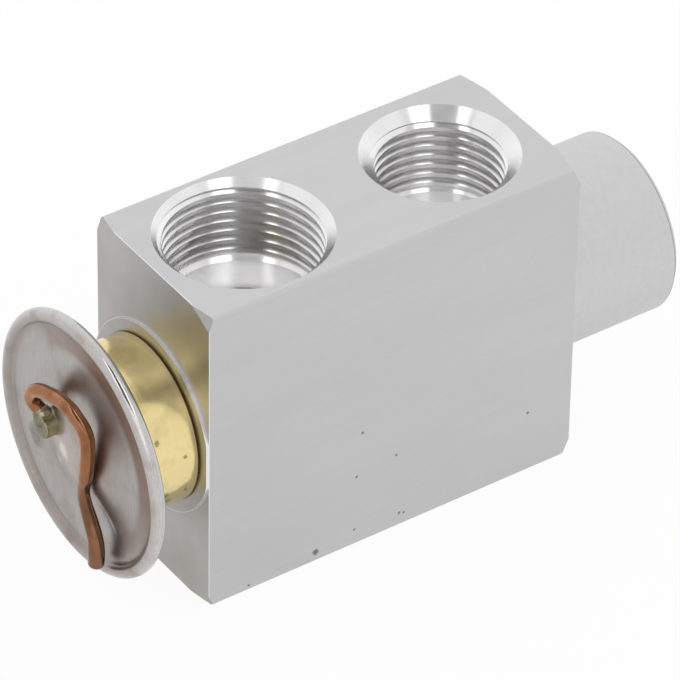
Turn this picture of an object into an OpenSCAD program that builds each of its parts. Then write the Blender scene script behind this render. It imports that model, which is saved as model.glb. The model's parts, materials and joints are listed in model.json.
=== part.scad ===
// Block type expansion valve for a vehicle air conditioner.
// The bar lies on its lower face, with the power head at -X, the spring boss at +X and ports above and below.
// A distance along the bar is counted from the head end face, so the power head's distances are negative.

/* [Block] */
// Length of the bar between the head end face and the boss shoulder
block_l = 69.8; // [67:0.1:80]
// Width of the bar
block_w = 31.3; // [30.8:0.1:36]
// Height of the bar, from one port face to the other
block_h = 57.2; // [56:0.1:66]
// Radius on the four long edges
edge_r = 0.6; // [0.2:0.1:1.5]
// Radius at which the turned corner cut meets the head end face
head_cut_r = 30.5; // [28:0.1:31.5]
// Slope of the corner cut at the head end, in degrees from the end face
head_cut_deg = 23; // [10:1:45]
// Radius at which the turned corner cut meets the boss shoulder
boss_cut_r = 30.1; // [28:0.1:31.5]
// Slope of the corner cut at the boss end, in degrees from the shoulder
boss_cut_deg = 28; // [10:1:45]
// Diameter of the turned land round the power head
land_d = 32.4; // [29.5:0.1:34]
// Height of that land above the end face
land_h = 0.5; // [0.2:0.1:1]

/* [Boss] */
// Diameter of the spring boss
boss_d = 30.7; // [27:0.1:31.2]
// Length of the spring boss beyond the shoulder
boss_l = 21.1; // [19.5:0.1:26]
// Chamfer on the outer and inner edge of the boss mouth
boss_chamfer = 0.8; // [0.3:0.1:1.5]

/* [Suction ports] */
// Distance of the suction ports from the head end face
suction_x = 16.8; // [16.2:0.1:17.6]
// Major diameter of the suction port thread
suction_thread_d = 27; // [24:0.1:27.4]
// Diameter of the chamfered mouth of a suction port
suction_mouth_d = 28.7; // [28.2:0.1:29.4]
// Depth of the mouth chamfer of a suction port
suction_chamfer_h = 0.9; // [0.5:0.1:1.5]
// Diameter of the passage that joins the two suction ports
suction_bore_d = 18; // [14:0.1:20]

/* [Liquid ports] */
// Distance of the liquid ports from the head end face
liquid_x = 53.9; // [53:0.1:54.8]
// Major diameter of the liquid port thread
liquid_thread_d = 22.2; // [20:0.1:22.8]
// Diameter of the chamfered mouth of a liquid port
liquid_mouth_d = 25.8; // [24.5:0.1:26.6]
// Depth of the mouth chamfer of a liquid port
liquid_chamfer_h = 1.8; // [1:0.1:2.5]
// Diameter of the drilled ways from the liquid ports to the valve
liquid_drill_d = 6; // [4:0.1:6.6]
// Offset of each drilled way from the axis of its port
liquid_drill_offset = 5.6; // [5.2:0.1:6.4]
// Point angle of the drill
drill_point_deg = 118; // [90:1:140]

/* [All four ports] */
// Depth of the port floors below the port face
port_depth = 17.8; // [17:0.1:18.6]
// Depth to which the ports are threaded
thread_depth = 14.6; // [13:0.1:15.4]
// Height of the port threads, by which the tapping hole is narrower than the thread on each side
thread_height = 0.75; // [0.5:0.05:1]

/* [Valve seat and spring chamber] */
// Distance of the valve seat beyond the axis of the liquid ports
seat_offset = 0.3; // [-0.4:0.1:1]
// Diameter of the orifice
orifice_d = 4.4; // [3.6:0.1:5]
// Diameter of the ball
ball_d = 6; // [5.4:0.1:6.6]
// Slope of the cup that holds the ball, in degrees
cup_deg = 35; // [25:1:42]
// Thickness of the carrier's flange
carrier_flange_t = 1.2; // [0.8:0.1:1.6]
// Length of the pilots that hold the spring in line
pilot_l = 2.6; // [1.6:0.1:3.4]
// Diameter of the ball and spring chamber
chamber_d = 15; // [14.4:0.1:16]
// Sheet thickness of the damping ring
ring_t = 0.3; // [0.2:0.1:0.5]
// Length of the damping ring's fingers
finger_l = 4; // [2:0.1:4.5]
// Angle that each finger takes up
finger_deg = 36; // [20:1:60]
// Wire diameter of the superheat spring
spring_wire_d = 1.4; // [1:0.1:1.6]
// Mean diameter of the superheat spring
spring_mean_d = 10.8; // [10:0.1:11.2]
// Number of turns of the superheat spring
spring_turns = 5.5; // [4:0.5:7]

/* [Adjusting screw] */
// Thread diameter of the adjusting screw, which is the boss bore
screw_d = 20; // [18.5:0.1:22]
// Depth of the screw below the boss mouth
screw_recess = 4.9; // [3.5:0.1:6]
// Length of the adjusting screw
screw_l = 11.6; // [10.5:0.1:12.5]
// Length of the screw's bore that is left free in front of the screw
screw_room = 5.2; // [3.5:0.1:6]
// Width across the flats of the screw's hexagon socket
socket_af = 8; // [6:0.5:10]
// Depth of the hexagon socket
socket_depth = 6; // [4.5:0.1:7]
// Section diameter of the screw's seal ring
screw_seal_t = 1.7; // [1.2:0.1:2]
// Thickness of the spring seat's flange
spring_seat_t = 1.2; // [0.8:0.1:1.6]

/* [Push rod] */
// Diameter of the thick sensing stem in the suction passage
stem_d = 6; // [5:0.1:6.6]
// Diameter of the thin push rod
rod_d = 3; // [2.4:0.1:3.2]
// Distance of the end of the thick stem from the head end face
stem_end_x = 24; // [22:0.1:25]
// How deep the push rod sits in the stem
rod_socket = 5; // [3:0.1:8]
// Diameter of the counterbore that holds the rod seal and its retainer
seal_bore_d = 6.6; // [6.2:0.1:7.4]
// Distance of the counterbore's floor from the head end face
seal_floor_x = 31.5; // [31:0.1:34]
// Length of the retainer in front of the rod seal
retainer_l = 2.2; // [1.5:0.1:2.4]

/* [Power head] */
// Outer diameter of the head's rolled rim
rim_d = 44.8; // [43:0.1:50]
// Thickness of the rolled rim
rim_t = 2.4; // [2.1:0.1:2.8]
// Distance of the middle of the rim from the head end face
rim_out = 13; // [12.6:0.1:16]
// How far the clamped diaphragm lies behind the middle of the rim
diaphragm_back = 0.4; // [0.3:0.1:0.5]
// Thickness of the two stamped sheets
sheet_t = 0.6; // [0.4:0.1:0.7]
// Thickness of the diaphragm
diaphragm_t = 0.15; // [0.1:0.05:0.2]
// Height of the diaphragm's round fold
fold_h = 0.3; // [0.2:0.1:0.5]
// Diameter of the cover's central dome
dome_d = 28.6; // [26:0.1:32]
// Height of the dome above the flat of the cover
dome_h = 2.4; // [1.5:0.1:2.8]
// Outer diameter of the brass neck
neck_d = 28; // [27.6:0.1:29]
// Wall of the neck round the diaphragm chamber
neck_wall = 1.4; // [1:0.1:1.8]
// Depth of the diaphragm chamber in the neck
neck_chamber = 4.5; // [4:0.1:5]
// Thread diameter of the neck's spigot
spigot_d = 18; // [16.5:0.1:18.4]
// Length of the spigot inside the block
spigot_l = 5.5; // [4:0.1:6]
// Diameter of the vapour holes in the neck
vent_d = 2.4; // [1.6:0.1:2.6]
// Number of vapour holes in the neck
vent_n = 4; // [3:1:5]
// Room between the thrust pad and the wall of its chamber, which the diaphragm's fold spans
pad_room = 1.1; // [0.8:0.1:2.5]
// Thickness of the thrust pad's flange
pad_t = 1.2; // [0.8:0.1:1.6]
// Diameter of the thrust pad's hub
pad_hub_d = 10.4; // [9:0.1:12]
// Room for travel between the hub and the floor of the chamber
hub_room = 1; // [0.9:0.1:1.3]
// Section diameter of the seal ring under the neck
head_seal_t = 1.6; // [1.2:0.1:1.8]
// Land between the neck's spigot and its seal groove
seal_land = 1.1; // [0.6:0.1:1.5]

/* [Charge tube] */
// Outer diameter of the copper charge tube
tube_d = 2.4; // [2:0.1:2.8]
// Diameter of the short stub on the dome that carries the tube
stub_d = 4.2; // [3.6:0.1:4.8]
// How far the stub stands out beyond the top of the dome
stub_out = 1.6; // [1:0.1:2.2]
// Width and height of the braze fillet round the foot of the stub
stub_fillet = 0.8; // [0.5:0.1:1.2]
// Place of the stub across the head, from the axis towards the back
stub_y = 6; // [5:0.1:6.4]
// Place of the stub above the axis
stub_z = 1; // [0:0.1:1.6]

/* [Fits] */
// Running clearance of pieces that slide or turn, on the radius
run_gap = 0.05; // [0.02:0.01:0.1]
// Clearance of the spring on its pilots, on the radius
pilot_gap = 0.3; // [0.1:0.1:0.5]
// Clearance of the spring seat in the chamber, on the radius
seat_gap = 0.7; // [0.4:0.1:0.9]
// Clearance of pieces that are pressed, brazed or screwed together
fit_gap = 0.02; // [0.01:0.01:0.05]
// Small chamfer on turned edges
break_edge = 0.4; // [0.2:0.1:0.5]

/* [Hidden] */
$fn = 96;

// A cut starts this far outside the face that it goes into
over = 1;
corner_r = norm([block_w, block_h]) / 2;
head_x = -block_l / 2;
axis_z = block_h / 2;
boss_end = block_l + boss_l;

// Layers of the power head, from the front of the cover to the floor of the neck's chamber
rim_r = (rim_d - rim_t) / 2;
diaphragm_front = diaphragm_back - diaphragm_t / 2 - rim_out;
diaphragm_rear = diaphragm_front + diaphragm_t;
cover_face = diaphragm_front - sheet_t;
base_back = diaphragm_rear + sheet_t;
neck_floor = base_back + neck_chamber;
chamber_r = neck_d / 2 - neck_wall;
seal_groove_r = spigot_d / 2 + seal_land;
vent_circle_r = (stem_d + spigot_d) / 4;
pad_r = chamber_r - pad_room;
pad_front = diaphragm_rear + fit_gap;
pad_back = pad_front + pad_t;
hub_back = neck_floor - hub_room;
socket_floor = (pad_front + pad_back) / 2;

// Ball, carrier, spring and screw, in the order in which they lie behind the seat
seat_x = liquid_x + seat_offset;
ball_r = ball_d / 2;
ball_x = seat_x + sqrt(pow(ball_r, 2) - pow(orifice_d / 2, 2)) + run_gap;
cup_floor = ball_x + (ball_r + fit_gap) / cos(cup_deg);
cup_r = ball_r - break_edge;
cup_x = cup_floor - cup_r * tan(cup_deg);
flange_x = cup_floor + break_edge;
ring_x = flange_x + carrier_flange_t;
spring_x = ring_x + ring_t;
screw_x = boss_end - screw_recess - screw_l;
chamber_end = screw_x - screw_room;
spring_seat_x = screw_x - spring_seat_t;
pilot_r = (spring_mean_d - spring_wire_d) / 2 - pilot_gap;
seat_flange_r = chamber_d / 2 - seat_gap;
screw_seal_room = 0.3;
screw_groove_x = screw_x + screw_seal_t;
screw_groove_l = screw_seal_t + 2 * screw_seal_room;
screw_groove_r = screw_d / 2 - run_gap - screw_seal_t;

// Rod seal and retainer, between the suction passage and the liquid side
rod_seal_t = (seal_bore_d - rod_d) / 2 - run_gap - fit_gap;
retainer_end = seal_floor_x - rod_seal_t - 2 * fit_gap;

// Charge tube: height of its underside over the top of the dome, place across and place up of its centre,
// then its width and its thickness as shares of its diameter. It starts at the side of the stub, just above the
// fillet, and is pinched shut before its end.
stub_place = [stub_y, stub_z];
stub_foot = dome_at(norm(stub_place) + stub_d / 2 + stub_fillet);
tube_bends = [
    [0.0, 8.2, 4.6, 1, 1],
    [0.35, 8.15, 5.7, 1, 1],
    [0.45, 7.5, 6.95, 1, 1],
    [0.4, 6.5, 8.0, 1, 1],
    [0.3, 5.1, 8.8, 1, 1],
    [0.15, 3.3, 9.35, 1, 1],
    [0.0, 1.3, 9.85, 1, 1],
    [-0.2, -0.6, 9.85, 1, 1],
    [-0.4, -2.2, 9.55, 1, 1],
    [-0.5, -3.4, 8.95, 1, 1],
    [-0.7, -4.7, 8.1, 1, 1],
    [-0.8, -5.7, 7.2, 1, 1],
    [-0.85, -6.15, 5.75, 1, 1],
    [-0.75, -6.35, 4.4, 1, 1],
    [-0.65, -6.4, 2.6, 1, 1],
    [-0.6, -5.9, -1.1, 1, 1],
    [-1.0, -4.5, -5.5, 0.8, 0.9],
    [-1.2, -4.9, -7.8, 0.85, 0.9],
    [-1.4, -5.9, -10.5, 1, 1],
    [-1.3, -7.5, -12.7, 1.05, 1],
    [-1.3, -7.7, -15.6, 1.2, 0.9],
    [-1.4, -7.3, -18.0, 1.15, 0.85],
    [-1.4, -7.1, -18.8, 0.6, 0.4]
];
tube_way = unit([tube_bends[0][1], tube_bends[0][2]] - stub_place);
tube_start = stub_place + tube_way * (stub_d / 2 + fit_gap);
tube_route = concat([[stub_foot + stub_fillet - dome_h, tube_start[0], tube_start[1], 1, 1]], tube_bends);
tube_sides = 10;
tube_steps = 3;
tube_lift = dome_h + tube_d / 2;
wire_sides = 8;
steps_per_turn = 20;

// Places a shape whose Z axis runs along the bar, with its zero at distance x from the head end face
module along_bar(x = 0) {
    translate([head_x + x, 0, axis_z])
        rotate([0, 90, 0])
            children();
}

// Solid of revolution about the bar's axis, from points of radius and distance
module turned(points) {
    along_bar()
        rotate_extrude()
            polygon(points);
}

// Drill along the bar's axis from one distance to another
module bored(d, from, to) {
    along_bar(from)
        cylinder(d = d, h = to - from);
}

// Ring of round section about the bar's axis, with its middle at distance x
module seal_ring(inner_r, t, x) {
    color([0.12, 0.12, 0.12])
        along_bar(x)
            rotate_extrude()
                translate([inner_r + t / 2, 0])
                    circle(d = t, $fn = 48);
}

// Points on a circular arc of radius r about a centre
function arc(centre, r, from, to, steps) =
    [for (i = [0 : steps]) let (a = from + (to - from) * i / steps) centre + r * [cos(a), sin(a)]];

// Angle on the rolled rim at which it reaches a distance along the bar
function rim_angle(x) = asin((x + rim_out) / (rim_t / 2));

// Height of the dome over the flat of the cover, at radius r
function dome_at(r) = r > dome_d / 2 ? 0 : dome_h * (1 + cos(360 * r / dome_d)) / 2;

function unit(v) = v / norm(v);

// Faces of a closed tube through a row of rings that have the same number of points
function tube_faces(rings, sides) =
    let (end = (rings - 1) * sides)
    concat(
        [for (i = [0 : rings - 2], k = [0 : sides - 1])
            let (a = i * sides + k, b = i * sides + (k + 1) % sides)
            each [[a, b, a + sides], [b, b + sides, a + sides]]],
        [for (k = [1 : sides - 2]) [0, k + 1, k]],
        [for (k = [1 : sides - 2]) [end, end + k, end + k + 1]]
    );

// Bar section with its long edges rounded. Its first direction is the height.
module bar_section() {
    h = block_h / 2 - edge_r;
    w = block_w / 2 - edge_r;
    square([2 * h, block_w], center = true);
    square([block_h, 2 * w], center = true);
    for (i = [-1, 1], j = [-1, 1])
        translate([i * h, j * w])
            circle(r = edge_r, $fn = 48);
}

// The bar as sawn and turned: corner cuts at both ends, the land and the boss
module bar_blank() {
    reach = corner_r + over;
    intersection() {
        along_bar(-over)
            linear_extrude(block_l + 2 * over)
                bar_section();
        turned([
            [0, -land_h],
            [land_d / 2, -land_h],
            [land_d / 2, 0],
            [head_cut_r, 0],
            [reach, (reach - head_cut_r) * tan(head_cut_deg)],
            [reach, block_l - (reach - boss_cut_r) * tan(boss_cut_deg)],
            [boss_cut_r, block_l],
            [0, block_l]
        ]);
    }
    turned([
        [0, block_l - over],
        [boss_d / 2, block_l - over],
        [boss_d / 2, boss_end - boss_chamfer],
        [boss_d / 2 - boss_chamfer, boss_end],
        [0, boss_end]
    ]);
}

// One threaded port, cut down from the upper face. Its threaded wall is at the thread's major diameter, and the
// wall below it slopes in to the tapping hole.
module port_cut(x, thread_d, mouth_d, chamfer_h) {
    flare = (mouth_d - thread_d) / 2 / chamfer_h;
    tapping_r = thread_d / 2 - thread_height;
    translate([head_x + x, 0, block_h])
        rotate_extrude()
            polygon([
                [0, -port_depth],
                [tapping_r, -port_depth],
                [tapping_r, -thread_depth - thread_height],
                [thread_d / 2, -thread_depth],
                [thread_d / 2, -chamfer_h],
                [mouth_d / 2 + flare * over, over],
                [0, over]
            ]);
}

// A port in the upper face and its mirror image in the lower face
module port_pair(x, thread_d, mouth_d, chamfer_h) {
    port_cut(x, thread_d, mouth_d, chamfer_h);
    translate([0, 0, block_h])
        mirror([0, 0, 1])
            port_cut(x, thread_d, mouth_d, chamfer_h);
}

// Drilled way from a liquid port's floor to the axis, ending in the drill's point
module liquid_way(x, side) {
    point_h = liquid_drill_d / 2 / tan(drill_point_deg / 2);
    translate([head_x + x, 0, axis_z])
        rotate([side < 0 ? 180 : 0, 0, 0])
            rotate_extrude()
                polygon([
                    [0, -point_h],
                    [liquid_drill_d / 2, 0],
                    [liquid_drill_d / 2, block_h / 2 - port_depth + over],
                    [0, block_h / 2 - port_depth + over]
                ]);
}

module valve_block() {
    top_way_x = liquid_x - liquid_drill_offset;
    bottom_way_x = liquid_x + liquid_drill_offset;
    color([0.77, 0.77, 0.77])
        difference() {
            bar_blank();
            port_pair(suction_x, suction_thread_d, suction_mouth_d, suction_chamfer_h);
            port_pair(liquid_x, liquid_thread_d, liquid_mouth_d, liquid_chamfer_h);
            translate([head_x + suction_x, 0, 0])
                cylinder(d = suction_bore_d, h = block_h);
            bored(spigot_d, -land_h - over, suction_x);
            bored(seal_bore_d, suction_x, seal_floor_x);
            bored(rod_d + 2 * run_gap, suction_x, seat_x);
            bored(orifice_d, top_way_x, seat_x + over);
            liquid_way(top_way_x, 1);
            liquid_way(bottom_way_x, -1);
            bored(chamber_d, seat_x, boss_end);
            turned([
                [0, chamber_end],
                [screw_d / 2, chamber_end],
                [screw_d / 2, boss_end - boss_chamfer],
                [screw_d / 2 + boss_chamfer + over, boss_end + over],
                [0, boss_end + over]
            ]);
        }
}

// Brass body of the power head: diaphragm chamber, shoulder on the land and threaded spigot
module head_neck() {
    spigot_r = spigot_d / 2 - fit_gap;
    color([0.83, 0.76, 0.5])
        difference() {
            turned([
                [0, base_back],
                [neck_d / 2, base_back],
                [neck_d / 2, -land_h - break_edge],
                [neck_d / 2 - break_edge, -land_h],
                [spigot_r, -land_h],
                [spigot_r, spigot_l - break_edge],
                [spigot_r - break_edge, spigot_l],
                [0, spigot_l]
            ]);
            bored(2 * chamber_r, base_back - over, neck_floor);
            bored(stem_d + 2 * run_gap, base_back, spigot_l + over);
            for (i = [0 : vent_n - 1])
                along_bar(neck_floor - over)
                    rotate([0, 0, 360 * (i + 0.5) / vent_n])
                        translate([vent_circle_r, 0, 0])
                            cylinder(d = vent_d, h = spigot_l - neck_floor + 2 * over);
            turned([
                [seal_groove_r, -land_h - head_seal_t],
                [seal_groove_r + head_seal_t, -land_h - head_seal_t],
                [seal_groove_r + head_seal_t, over],
                [seal_groove_r, over]
            ]);
        }
}

module head_seal() {
    seal_ring(seal_groove_r + fit_gap, head_seal_t - 2 * fit_gap, -land_h - head_seal_t / 2);
}

// Upper stamping: central dome, flat, and the front of the rolled rim
module head_cover() {
    radii = [for (i = [0 : 12]) dome_d / 2 * i / 12];
    color([0.7, 0.67, 0.66])
        turned(concat(
            [for (r = radii) [r, cover_face - dome_at(r)]],
            arc([rim_r, -rim_out], rim_t / 2, -180 - rim_angle(cover_face), rim_angle(diaphragm_front), 14),
            [for (i = [12 : -1 : 0]) [radii[i], diaphragm_front - dome_at(radii[i])]]
        ));
}

// Lower stamping, brazed to the neck, with the back of the rolled rim
module head_base() {
    inner_r = chamber_r + break_edge;
    color([0.66, 0.63, 0.62])
        turned(concat(
            [[inner_r, base_back], [inner_r, diaphragm_rear]],
            arc([rim_r, -rim_out], rim_t / 2, rim_angle(diaphragm_rear), 180 - rim_angle(base_back), 10)
        ));
}

// Thin sheet clamped in the rim, with one round fold outside the thrust pad
module diaphragm() {
    fold_from = pad_r;
    fold_w = pad_room;
    clamp_r = rim_r + rim_t / 2 - break_edge;
    fold = [for (i = [0 : 6]) [fold_from + fold_w * i / 6, fold_h * sin(180 * i / 6)]];
    color([0.78, 0.78, 0.76])
        turned(concat(
            [[0, diaphragm_front]],
            [for (p = fold) [p[0], diaphragm_front + p[1]]],
            [[clamp_r, diaphragm_front], [clamp_r, diaphragm_rear]],
            [for (i = [6 : -1 : 0]) [fold[i][0], diaphragm_rear + fold[i][1]]],
            [[0, diaphragm_rear]]
        ));
}

// Short stub on the dome that carries the charge tube, with a fillet of braze round its foot
module tube_collar() {
    stub_end = dome_h + stub_out;
    color([0.62, 0.56, 0.42])
        difference() {
            translate([head_x + cover_face, stub_y, axis_z + stub_z])
                rotate([0, -90, 0])
                    rotate_extrude()
                        polygon([
                            [0, stub_foot],
                            [stub_d / 2 + stub_fillet, stub_foot],
                            [stub_d / 2, stub_foot + stub_fillet],
                            [stub_d / 2, stub_end - break_edge],
                            [stub_d / 2 - break_edge, stub_end],
                            [0, stub_end]
                        ]);
            turned(concat(
                [for (i = [0 : 12]) let (r = dome_d / 2 * i / 12) [r, cover_face - dome_at(r) - fit_gap]],
                [[dome_d / 2, diaphragm_front], [0, diaphragm_front]]
            ));
        }
}

// Point at share u of the way from p1 to p2, on a smooth curve that comes from p0 and goes on to p3
function between(p0, p1, p2, p3, u) =
    (2 * p1 + (p2 - p0) * u + (2 * p0 - 5 * p1 + 4 * p2 - p3) * pow(u, 2)
        + (3 * p1 - p0 - 3 * p2 + p3) * pow(u, 3)) / 2;

function smooth_route(route, steps) =
    let (last = len(route) - 1)
    concat(
        [for (i = [0 : last - 1], k = [0 : steps - 1])
            between(route[max(i - 1, 0)], route[i], route[i + 1], route[min(i + 2, last)], k / steps)],
        [route[last]]
    );

// Copper tube that leaves the side of the stub, bends round over the cover and is pinched shut
module charge_tube() {
    steps = smooth_route(tube_route, tube_steps);
    last = len(steps) - 1;
    places = [for (p = steps) [head_x + cover_face - tube_lift - p[0] - fit_gap, p[1], axis_z + p[2]]];
    points = [for (i = [0 : last])
        let (
            ahead = i == 0 ? [0, tube_way[0], tube_way[1]] : unit(places[min(i + 1, last)] - places[i - 1]),
            across = unit(cross(ahead, [1, 0, 0])),
            out = unit(cross(across, ahead))
        )
        for (k = [0 : tube_sides - 1])
            let (a = 360 * k / tube_sides)
            places[i] + across * cos(a) * steps[i][3] * tube_d / 2 + out * sin(a) * steps[i][4] * tube_d / 2];
    color([0.6, 0.33, 0.2])
        polyhedron(points, tube_faces(last + 1, tube_sides));
}

module rod_seal() {
    seal_ring(rod_d / 2 + run_gap, rod_seal_t, seal_floor_x - fit_gap - rod_seal_t / 2);
}

// Pressed ring that keeps the rod seal in its counterbore
module seal_retainer() {
    inner_r = rod_d / 2 + 2 * run_gap;
    outer_r = seal_bore_d / 2 - fit_gap;
    color([0.75, 0.68, 0.45])
        turned([
            [inner_r, retainer_end - retainer_l],
            [outer_r - break_edge, retainer_end - retainer_l],
            [outer_r, retainer_end - retainer_l + break_edge],
            [outer_r, retainer_end],
            [inner_r, retainer_end]
        ]);
}

// Pad that carries the diaphragm, with a blind socket for the stem
module thrust_pad() {
    color([0.72, 0.72, 0.7])
        difference() {
            turned([
                [0, pad_front],
                [pad_r - break_edge, pad_front],
                [pad_r, pad_front + break_edge],
                [pad_r, pad_back],
                [pad_hub_d / 2, pad_back],
                [pad_hub_d / 2, hub_back],
                [0, hub_back]
            ]);
            bored(stem_d + 2 * fit_gap, socket_floor, hub_back + over);
        }
}

// Thick stem that takes the heat of the suction vapour up to the head
module sensing_stem() {
    color([0.75, 0.75, 0.74])
        difference() {
            turned([
                [0, socket_floor + fit_gap],
                [stem_d / 2, socket_floor + fit_gap],
                [stem_d / 2, stem_end_x - break_edge],
                [stem_d / 2 - break_edge, stem_end_x],
                [0, stem_end_x]
            ]);
            bored(rod_d + 2 * fit_gap, stem_end_x - rod_socket, stem_end_x + over);
        }
}

module push_rod() {
    color([0.8, 0.8, 0.8])
        bored(rod_d, stem_end_x - rod_socket + fit_gap, ball_x - ball_r);
}

module valve_ball() {
    color([0.82, 0.82, 0.83])
        along_bar(ball_x)
            sphere(r = ball_r);
}

// Brass cup behind the ball, with a flange and a pilot for the spring
module ball_carrier() {
    color([0.78, 0.7, 0.42])
        turned([
            [0, cup_floor],
            [cup_r, cup_x],
            [cup_r + break_edge, cup_x],
            [seat_flange_r - 2 * break_edge, flange_x],
            [seat_flange_r - 2 * break_edge, ring_x],
            [pilot_r, ring_x],
            [pilot_r, ring_x + pilot_l],
            [pilot_r - break_edge, ring_x + pilot_l + break_edge],
            [0, ring_x + pilot_l + break_edge]
        ]);
}

// Spring washer behind the carrier's flange: three fingers rub on the chamber wall and damp the ball
module damping_ring() {
    outer_r = chamber_d / 2 - run_gap;
    color([0.7, 0.7, 0.7]) {
        turned([
            [pilot_r + run_gap, ring_x],
            [outer_r - ring_t, ring_x],
            [outer_r - ring_t, spring_x],
            [pilot_r + run_gap, spring_x]
        ]);
        for (i = [0 : 2])
            along_bar()
                rotate([0, 0, 120 * i + 60 - finger_deg / 2])
                    rotate_extrude(angle = finger_deg)
                        polygon([
                            [outer_r - 2 * ring_t, ring_x],
                            [outer_r - ring_t, ring_x - finger_l],
                            [outer_r, ring_x - finger_l],
                            [outer_r, spring_x],
                            [outer_r - 2 * ring_t, spring_x]
                        ]);
    }
}

// Superheat spring: round wire along a helix between the damping ring and the spring seat
module valve_spring() {
    steps = round(spring_turns * steps_per_turn);
    wire_r = spring_wire_d / 2;
    start = wire_r + fit_gap;
    rise = (spring_seat_x - spring_x - 2 * start) / steps;
    points = [for (i = [0 : steps], k = [0 : wire_sides - 1])
        let (
            a = 360 * i / steps_per_turn,
            b = 360 * (k + 0.5) / wire_sides,
            r = spring_mean_d / 2 + wire_r * cos(b)
        )
        [r * cos(a), r * sin(a), start + rise * i + wire_r * sin(b)]];
    color([0.6, 0.6, 0.6])
        along_bar(spring_x)
            polyhedron(points, tube_faces(steps + 1, wire_sides));
}

module spring_seat() {
    color([0.72, 0.72, 0.7])
        turned([
            [0, spring_seat_x - pilot_l],
            [pilot_r - break_edge, spring_seat_x - pilot_l],
            [pilot_r, spring_seat_x - pilot_l + break_edge],
            [pilot_r, spring_seat_x],
            [seat_flange_r, spring_seat_x],
            [seat_flange_r, screw_x - fit_gap],
            [0, screw_x - fit_gap]
        ]);
}

// Brass screw with a seal groove and a hexagon socket
module adjusting_screw() {
    outer_r = screw_d / 2 - run_gap;
    screw_end = screw_x + screw_l;
    color([0.8, 0.72, 0.45])
        difference() {
            turned([
                [0, screw_x],
                [outer_r - break_edge, screw_x],
                [outer_r, screw_x + break_edge],
                [outer_r, screw_groove_x],
                [screw_groove_r, screw_groove_x],
                [screw_groove_r, screw_groove_x + screw_groove_l],
                [outer_r, screw_groove_x + screw_groove_l],
                [outer_r, screw_end - break_edge],
                [outer_r - break_edge, screw_end],
                [0, screw_end]
            ]);
            along_bar(screw_end - socket_depth)
                cylinder(d = socket_af / cos(30), h = socket_depth + over, $fn = 6);
        }
}

module screw_seal() {
    seal_ring(screw_groove_r + fit_gap, screw_seal_t - fit_gap, screw_groove_x + screw_groove_l / 2);
}

valve_block();
head_neck();
head_base();
head_cover();
diaphragm();
charge_tube();
tube_collar();
head_seal();
rod_seal();
seal_retainer();
thrust_pad();
sensing_stem();
push_rod();
valve_ball();
ball_carrier();
damping_ring();
valve_spring();
spring_seat();
adjusting_screw();
screw_seal();
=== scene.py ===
# %% [markdown]
# Block type expansion valve
#
# The valve is a bar of drawn aluminium with a spring boss turned on one end and a power head screwed into the
# other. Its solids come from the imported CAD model, which is loaded as a fixed frame. This lesson adds what
# the solids leave out: the port threads, the smooth stamped disc, the bent charge tube, and the finishes.

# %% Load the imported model
import json
import math
from contextlib import contextmanager

import bpy
from mathutils import Matrix, Vector


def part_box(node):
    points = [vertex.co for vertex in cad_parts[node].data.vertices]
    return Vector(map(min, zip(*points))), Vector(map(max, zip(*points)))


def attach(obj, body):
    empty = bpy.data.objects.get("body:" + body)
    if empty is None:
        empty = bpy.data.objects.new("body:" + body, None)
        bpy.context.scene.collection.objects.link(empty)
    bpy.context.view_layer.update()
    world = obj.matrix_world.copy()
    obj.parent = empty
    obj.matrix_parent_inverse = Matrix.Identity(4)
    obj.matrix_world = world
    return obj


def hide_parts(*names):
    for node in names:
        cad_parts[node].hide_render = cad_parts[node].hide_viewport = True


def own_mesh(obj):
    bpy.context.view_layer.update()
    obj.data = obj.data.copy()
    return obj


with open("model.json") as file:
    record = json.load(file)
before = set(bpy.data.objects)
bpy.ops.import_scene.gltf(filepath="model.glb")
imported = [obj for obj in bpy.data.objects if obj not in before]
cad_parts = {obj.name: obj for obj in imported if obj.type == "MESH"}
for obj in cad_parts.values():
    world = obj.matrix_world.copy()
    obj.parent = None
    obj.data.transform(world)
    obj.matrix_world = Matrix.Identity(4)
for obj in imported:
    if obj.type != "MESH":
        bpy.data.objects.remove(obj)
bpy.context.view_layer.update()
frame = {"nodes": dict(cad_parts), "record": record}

MM = 0.001

# %% [markdown]
# The camera comes first, because every comparison with the photograph depends on it. The photograph was taken
# from far away with a long lens, so its edges hardly converge. The angles, the distance and the focal length
# in pixels were fitted to the corners of the bar and to the round ports. Blender wants the focal length in
# millimetres on a 36 mm sensor, so the pixels are scaled by the sensor's width over the picture's side.

# %% Camera
PHOTO_SIDE = 680
FOCAL_PIXELS = 6473
SENSOR_WIDTH = 36
VIEW_AZIMUTH = math.radians(-35.14)
VIEW_ELEVATION = math.radians(38.27)
VIEW_ROLL = math.radians(1.01)
VIEW_DISTANCE = 1.024
VIEW_AIM = Vector((0.14, -0.41, 28.28)) * MM

to_camera = Vector((
    math.sin(VIEW_AZIMUTH) * math.cos(VIEW_ELEVATION),
    -math.cos(VIEW_AZIMUTH) * math.cos(VIEW_ELEVATION),
    math.sin(VIEW_ELEVATION),
))
level_right = Vector((0, 0, 1)).cross(to_camera).normalized()
level_up = to_camera.cross(level_right)
camera_right = math.cos(VIEW_ROLL) * level_right + math.sin(VIEW_ROLL) * level_up
camera_up = to_camera.cross(camera_right)

bpy.ops.object.camera_add(location=VIEW_AIM + VIEW_DISTANCE * to_camera)
camera = bpy.context.object
camera.rotation_euler = Matrix((camera_right, camera_up, to_camera)).transposed().to_euler()
camera.data.sensor_width = SENSOR_WIDTH
camera.data.lens = FOCAL_PIXELS * SENSOR_WIDTH / PHOTO_SIDE
camera.data.clip_start = 0.1
camera.data.clip_end = 20
bpy.context.scene.camera = camera
print("Lens:", round(camera.data.lens, 1), "mm, distance", VIEW_DISTANCE, "m")

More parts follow.
